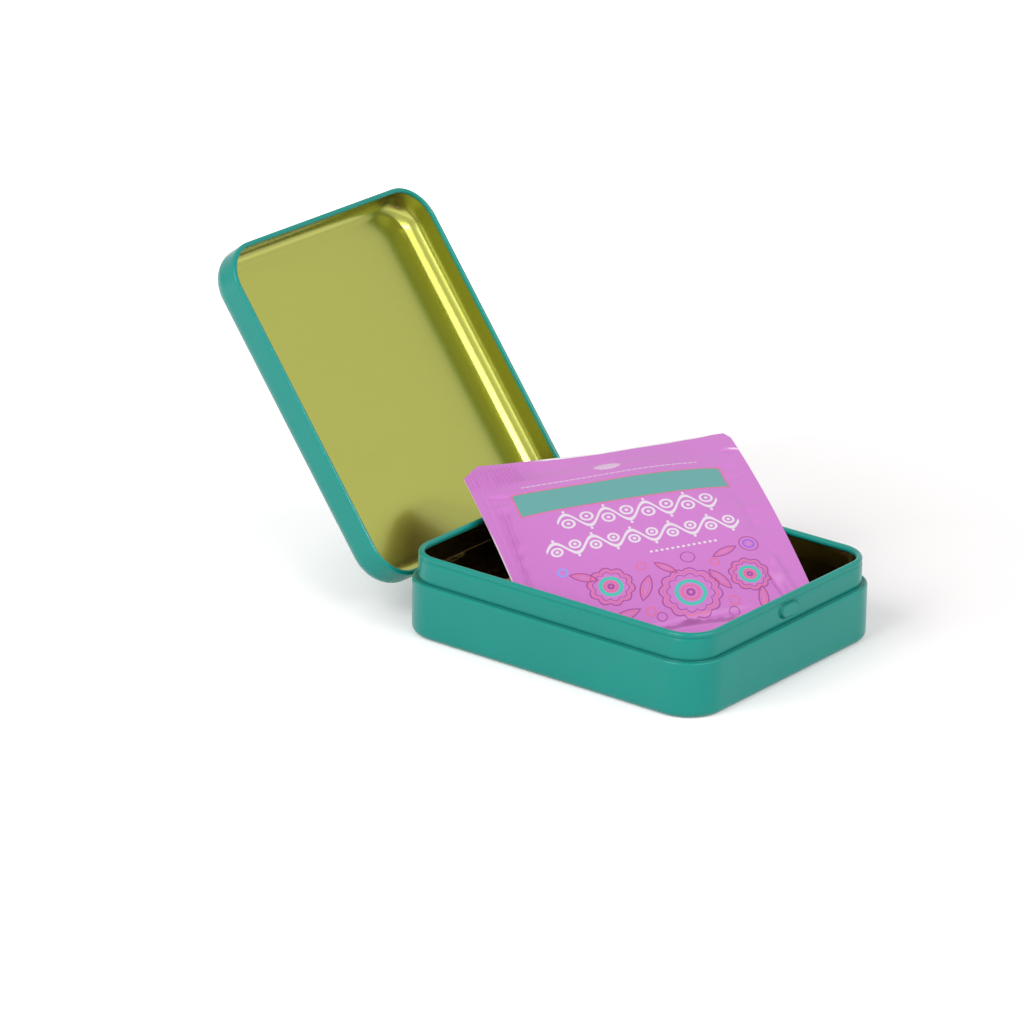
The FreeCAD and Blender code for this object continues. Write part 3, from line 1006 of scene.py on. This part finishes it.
# Creases pressed into the sachet: start, end, height (a groove is negative) and width.
CREASES = (
    ((-33.7, 66.0), (-35.2, 22.0), -0.34, 0.42),
    ((-32.1, 61.5), (-34.5, 20.0), -0.40, 0.45),
    ((-33.0, 63.0), (-34.8, 22.0), 0.26, 0.40),
    ((-30.6, 60.0), (-33.4, 20.0), 0.30, 0.80),
    ((-35.5, 70.0), (-36.5, 30.0), -0.20, 0.40),
    ((-35.2, 65.2), (-27.2, 63.3), -0.42, 0.50),
    ((-35.2, 64.0), (-27.8, 62.2), 0.28, 0.60),
    ((29.2, 20.5), (32.5, 5.0), -0.95, 0.95),
    ((31.6, 27.0), (34.2, 4.0), 0.75, 1.10),
    ((33.2, 72.9), (38.6, 71.0), 0.40, 0.35),
    ((33.0, 71.9), (38.6, 70.2), -0.35, 0.45),
    ((-28.0, 5.0), (8.0, 6.6), 1.25, 0.70),
    ((0.0, 6.6), (27.0, 3.8), 1.25, 0.70),
    ((-26.0, 7.2), (26.0, 7.6), -0.50, 0.80),
    ((14.0, 70.0), (36.0, 71.6), -0.20, 0.80),
    ((30.4, 62.0), (31.4, 32.0), -0.28, 1.10),
    ((-30.5, 69.8), (28.0, 70.6), 0.16, 0.70),
)


def crease(across, up, start, end, height, width):
    """Ridge or groove along a line, fading out at both ends."""
    run = np.array(end) - np.array(start)
    reach = np.hypot(*run)
    share = ((across - start[0]) * run[0] + (up - start[1]) * run[1]) / reach ** 2
    off = ((across - start[0]) * run[1] - (up - start[1]) * run[0]) / reach
    fade = smooth_step(share / 0.18) * smooth_step((1 - share) / 0.18)
    return height * np.exp(-((off / width) ** 2)) * fade


# Crimps along the top seal, puckers beside the side seals and how the top hangs slack, in millimetres.
CRIMP_PITCH = 1.12
CRIMP_HEIGHT = 0.17
PUCKER_PITCH = 7.3
PUCKER_HEIGHT = 0.20
TOP_SLACK = ((-38.2, 0.25), (-20.0, 0.0), (0.6, -0.40), (20.0, -0.1), (38.2, 0.15))

# Drift of the side edges from straight: height on the sachet and shift across.
LEFT_DRIFT = ((0, 0.4), (30, 0.25), (80, -0.5))
RIGHT_DRIFT = ((0, 0.6), (20, 0.5), (80, 0.15))

# Runs of the sachet's mesh: start, end and number of parts, closer where it is crimped or creased.
COLUMN_RUNS = (
    (-SACHET_WIDTH / 2, -31.0, 34),
    (-31.0, -14.0, 62),
    (-14.0, 28.0, 76),
    (28.0, SACHET_WIDTH / 2, 40),
)
ROW_RUNS = (
    (0.0, 10.0, 30),
    (10.0, 64.0, 92),
    (64.0, SACHET_HEIGHT, 44),
)


def sachet_relief(across, up):
    """How far the sheet stands from its smooth shape: creases, crimped seal, puckers and a slack top."""
    creases = sum(crease(across, up, *row) for row in CREASES)
    along_top = smooth_step((up - 67.5) / 2.5) * smooth_step((79.5 - up) / 2.0)
    deeper_left = smooth_step((-14.0 - across) / 10.0) * 0.85 + 0.15
    crimps = np.cos(across * 2 * math.pi / CRIMP_PITCH) * CRIMP_HEIGHT * along_top * deeper_left
    from_seal = SACHET_WIDTH / 2 - SEAL_WIDTH - np.abs(across)
    wave = np.sin(up * 2 * math.pi / PUCKER_PITCH + np.sin(up * 0.31) * 1.4)
    near_seal = np.exp(-((from_seal / 3.2) ** 2)) * smooth_step((72 - up) / 6)
    puckers = wave * PUCKER_HEIGHT * near_seal
    slack = np.interp(across, *zip(*TOP_SLACK)) * smooth_step((up - 52.0) / 26.0)
    broad = np.sin(across * 0.13 + 0.6) * np.sin(up * 0.11 + 0.4) * 0.30
    broad = broad * smooth_step((SACHET_WIDTH / 2 - np.abs(across)) / 8.0)
    return creases + crimps + puckers + slack + broad


def joined_spread(runs):
    """Points over several runs, each with its own number of parts."""
    points = [runs[0][0]]
    for start, end, parts in runs:
        points.extend(np.linspace(start, end, parts + 1)[1:])
    return np.array(points)


def plain_low_corner(across, level):
    """Lowest corner of the plain envelope, without cuts and creases, where the CAD sachet has its own."""
    half = sachet_half_thickness(across, level)[..., None] + (CAD_SEAL_THICKNESS - SEAL_THICKNESS) / 2
    middle, normals = sachet_sheet(across, level)
    faces = np.concatenate([middle + normals * half, middle - normals * half])
    return faces.reshape(-1, 3).min(0)


def sachet_points(across, level, up):
    """Face points, then back points, set down where the CAD sachet lies."""
    left = np.interp(up, *zip(*LEFT_DRIFT))
    right = np.interp(up, *zip(*RIGHT_DRIFT))
    near_edge = smooth_step((np.abs(across) - 30.0) / 8.25)
    drifted = across + np.where(across < 0, left, right) * near_edge
    middle, normals = sachet_sheet(drifted, up)
    half = sachet_half_thickness(across, up)[..., None]
    relief = sachet_relief(across, up)[..., None]
    faces = [middle + normals * (relief + half), middle + normals * (relief - half)]
    cad_low = np.array(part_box("tea_sachet")[0]) / MM
    points = np.concatenate([face.reshape(-1, 3) for face in faces])
    return points + cad_low - plain_low_corner(across, level)


def envelope_faces(tall, wide):
    """Quads of a grid's face, of its back and of the edge round both, as three arrays."""
    total = wide * tall
    grid = np.arange(total).reshape(tall, wide)
    corners = [grid[:-1, :-1], grid[:-1, 1:], grid[1:, 1:], grid[1:, :-1]]
    quads = np.stack(corners, axis=-1).reshape(-1, 4)
    rim = np.concatenate([grid[0, :], grid[1:, -1], grid[-1, -2::-1], grid[-2:0:-1, 0]])
    after = np.roll(rim, -1)
    edge = np.stack([rim, rim + total, after + total, after], axis=-1)
    return quads, quads[:, ::-1] + total, edge


def build_sachet(*materials):
    """Sealed envelope with its own outline, crimps and creases; materials are of its face, back and edge."""
    across, level = np.meshgrid(joined_spread(COLUMN_RUNS), joined_spread(ROW_RUNS))
    up = level - (SACHET_HEIGHT - top_edge(across)) * smooth_step((level - 66.0) / 14.0)
    points = sachet_points(across, level, up)
    groups = envelope_faces(*across.shape)
    faces = np.concatenate(groups)
    mesh = bpy.data.meshes.new("sachet")
    mesh.from_pydata((points * MM).tolist(), [], faces.tolist())
    slots = np.repeat(np.arange(len(groups)), [len(group) for group in groups])
    mesh.polygons.foreach_set("material_index", slots)
    layer = mesh.uv_layers.new(name="sheet")
    corners = faces.ravel() % across.size
    share_x = across.ravel()[corners] / SACHET_WIDTH + 0.5
    share_y = up.ravel()[corners] / SACHET_HEIGHT
    layer.data.foreach_set("uv", np.stack([share_x, share_y], 1).astype(np.float32).ravel())
    for material in materials:
        mesh.materials.append(material)
    shade_smooth(mesh, angle=50)
    return fresh_object("sachet", mesh)


# ---------------------------------------------------------------- stage

CAMERA_LENS = 200.13
CAMERA_AZIMUTH = -52.010
CAMERA_ELEVATION = 21.083
CAMERA_ROLL = 0.8255
CAMERA_DISTANCE = 1493.12
CAMERA_TARGET = (-32.157, 18.249, 37.76)
CAMERA_LIFT = 1.419
CAMERA_SHIFT = 0.067

# Lights, in metres: azimuth, elevation, width, height and radiance.
SOFTBOXES = {
    "key_left": (-100, 38, 1.1, 1.1, 4.2),
    "front_strip": (0, 38.8, 1.8, 0.15, 17.0),
    "left_strip": (-87, 18, 0.16, 0.9, 3.2),
}
SOFTBOX_DISTANCE = 1.6
LIT_PLACE = (0, 0.02, 0.03)
WORLD_LIGHT = 0.35
FLOOR_HALF = 8.0


def direction(azimuth, elevation):
    """Unit vector towards a place seen from the tin; azimuth counts from -Y towards +X."""
    azimuth, elevation = math.radians(azimuth), math.radians(elevation)
    flat = math.cos(elevation)
    return Vector((math.sin(azimuth) * flat, -math.cos(azimuth) * flat, math.sin(elevation)))


def add_camera():
    """Camera with a long lens; it looks a little past its target, which sets how it is framed."""
    data = bpy.data.cameras.new("camera")
    data.lens = CAMERA_LENS
    data.clip_end = 20
    camera = bpy.data.objects.new("camera", data)
    bpy.context.scene.collection.objects.link(camera)
    towards = direction(CAMERA_AZIMUTH, CAMERA_ELEVATION)
    level = Vector((0, 0, 1)).cross(towards).normalized()
    upright = towards.cross(level)
    roll = math.radians(CAMERA_ROLL)
    right = level * math.cos(roll) + upright * math.sin(roll)
    up = upright * math.cos(roll) - level * math.sin(roll)
    place = Vector(CAMERA_TARGET) + towards * CAMERA_DISTANCE
    target = Vector(CAMERA_TARGET) + up * CAMERA_LIFT - right * CAMERA_SHIFT
    back = (place - target).normalized()
    right = up.cross(back).normalized()
    up = back.cross(right)
    turn = Matrix((right, up, back)).transposed().to_4x4()
    camera.matrix_world = Matrix.Translation(place * MM) @ turn
    bpy.context.scene.camera = camera


def add_softbox(name, azimuth, elevation, width, height, radiance):
    """A rectangular soft light that faces the tin; radiance is what a mirror would show of it."""
    data = bpy.data.lights.new(name, "AREA")
    data.shape = "RECTANGLE"
    data.size = width
    data.size_y = height
    data.energy = radiance * math.pi * width * height
    lamp = bpy.data.objects.new(name, data)
    towards = direction(azimuth, elevation)
    lamp.location = towards * SOFTBOX_DISTANCE + Vector(LIT_PLACE)
    lamp.rotation_euler = towards.to_track_quat("Z", "Y").to_euler()
    bpy.context.scene.collection.objects.link(lamp)


def add_world():
    """White to the camera and in reflections, softer as light."""
    world = bpy.data.worlds.new("studio")
    world.use_nodes = True
    tree = world.node_tree
    tree.nodes.clear()
    seen = ray_kinds(tree, "Is Camera Ray", "Is Glossy Ray", "Is Transmission Ray")
    strength = seen * (1 - WORLD_LIGHT) + WORLD_LIGHT
    shine = add_node(tree, "ShaderNodeBackground", inputs={"Color": WHITE, "Strength": strength})
    add_node(tree, "ShaderNodeOutputWorld", inputs={"Surface": shine})
    bpy.context.scene.world = world


def add_floor():
    """Pale floor that glows to the camera away from the tin, so that only the tin's shadow is grey."""
    mesh = bpy.data.meshes.new("floor")
    corners = ((-1, -1), (1, -1), (1, 1), (-1, 1))
    points = [(x * FLOOR_HALF, y * FLOOR_HALF, 0) for x, y in corners]
    mesh.from_pydata(points, [], [(0, 1, 2, 3)])
    material, tree = new_material("pale_floor")
    diffuse = add_node(tree, "ShaderNodeBsdfDiffuse", inputs={"Color": FLOOR_PALE})
    to_right, behind, _ = split(tree, object_place(tree))
    # Painted light: the glow rises far from the tin, to its left and behind it, washing out the tin's shadow
    # there.
    far = length(to_right, behind).ramp(0.11, 0.35) * 0.5
    to_left = to_right.ramp(0.0, -0.09) * 0.26
    strength = far + to_left + behind.ramp(0.05, 0.12) * 0.27 + 0.13
    glow = add_node(tree, "ShaderNodeEmission", inputs={"Color": WHITE, "Strength": strength})
    bright = add_node(tree, "ShaderNodeAddShader", inputs={0: diffuse, 1: glow})
    seen = ray_kinds(tree, "Is Camera Ray", "Is Glossy Ray")
    both = add_node(tree, "ShaderNodeMixShader", inputs={0: seen, 1: diffuse, 2: bright})
    add_node(tree, "ShaderNodeOutputMaterial", inputs={"Surface": both})
    mesh.materials.append(material)
    floor = fresh_object("floor", mesh)


# ---------------------------------------------------------------- assembly


def main():
    enamel = paint_material()
    lid_enamel = lid_paint_material()
    lid_lacquer = lacquer_material("gold_lacquer", LACQUER, LACQUER_WARM, roughness=0.26)
    # Painted shade: a darker copy of the gold lacquer for the inside of the base, its sleeves and the
    # knuckles' inner faces.
    shaded_inside_colours = (LACQUER_SHADED_INSIDE, LACQUER_SHADED_INSIDE_WARM)
    shaded_lacquer = lacquer_material("gold_lacquer_shaded_inside", *shaded_inside_colours, roughness=0.22)

    base = build_base(enamel, shaded_lacquer)
    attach(base, "base")
    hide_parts("base_tin")

    lid = build_lid(lid_enamel, lid_lacquer)
    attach(lid, "lid")
    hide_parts("lid_tin")

    for side, middle_x in zip(("left", "right"), HINGE_PLACES):
        strap = build_lid_knuckle("lid_knuckle_" + side, middle_x, lid_enamel, shaded_lacquer)
        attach(strap, "lid")

    sleeves = build_base_sleeves(shaded_lacquer)
    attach(sleeves, "base")

    wire = wire_material()
    for node in ("hinge_pin_left", "hinge_pin_right"):
        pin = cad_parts[node]
        pin.data.materials.clear()
        pin.data.materials.append(wire)

    face = sachet_material("printed_paper", printed=True)
    back = sachet_material("plain_paper", printed=False)
    sachet = build_sachet(face, back, paper_edge_material())
    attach(sachet, "base")
    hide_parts("tea_sachet")

    add_floor()
    add_world()
    for name, light in SOFTBOXES.items():
        add_softbox(name, *light)
    add_camera()
    bpy.context.scene.view_settings.view_transform = "Standard"


main()
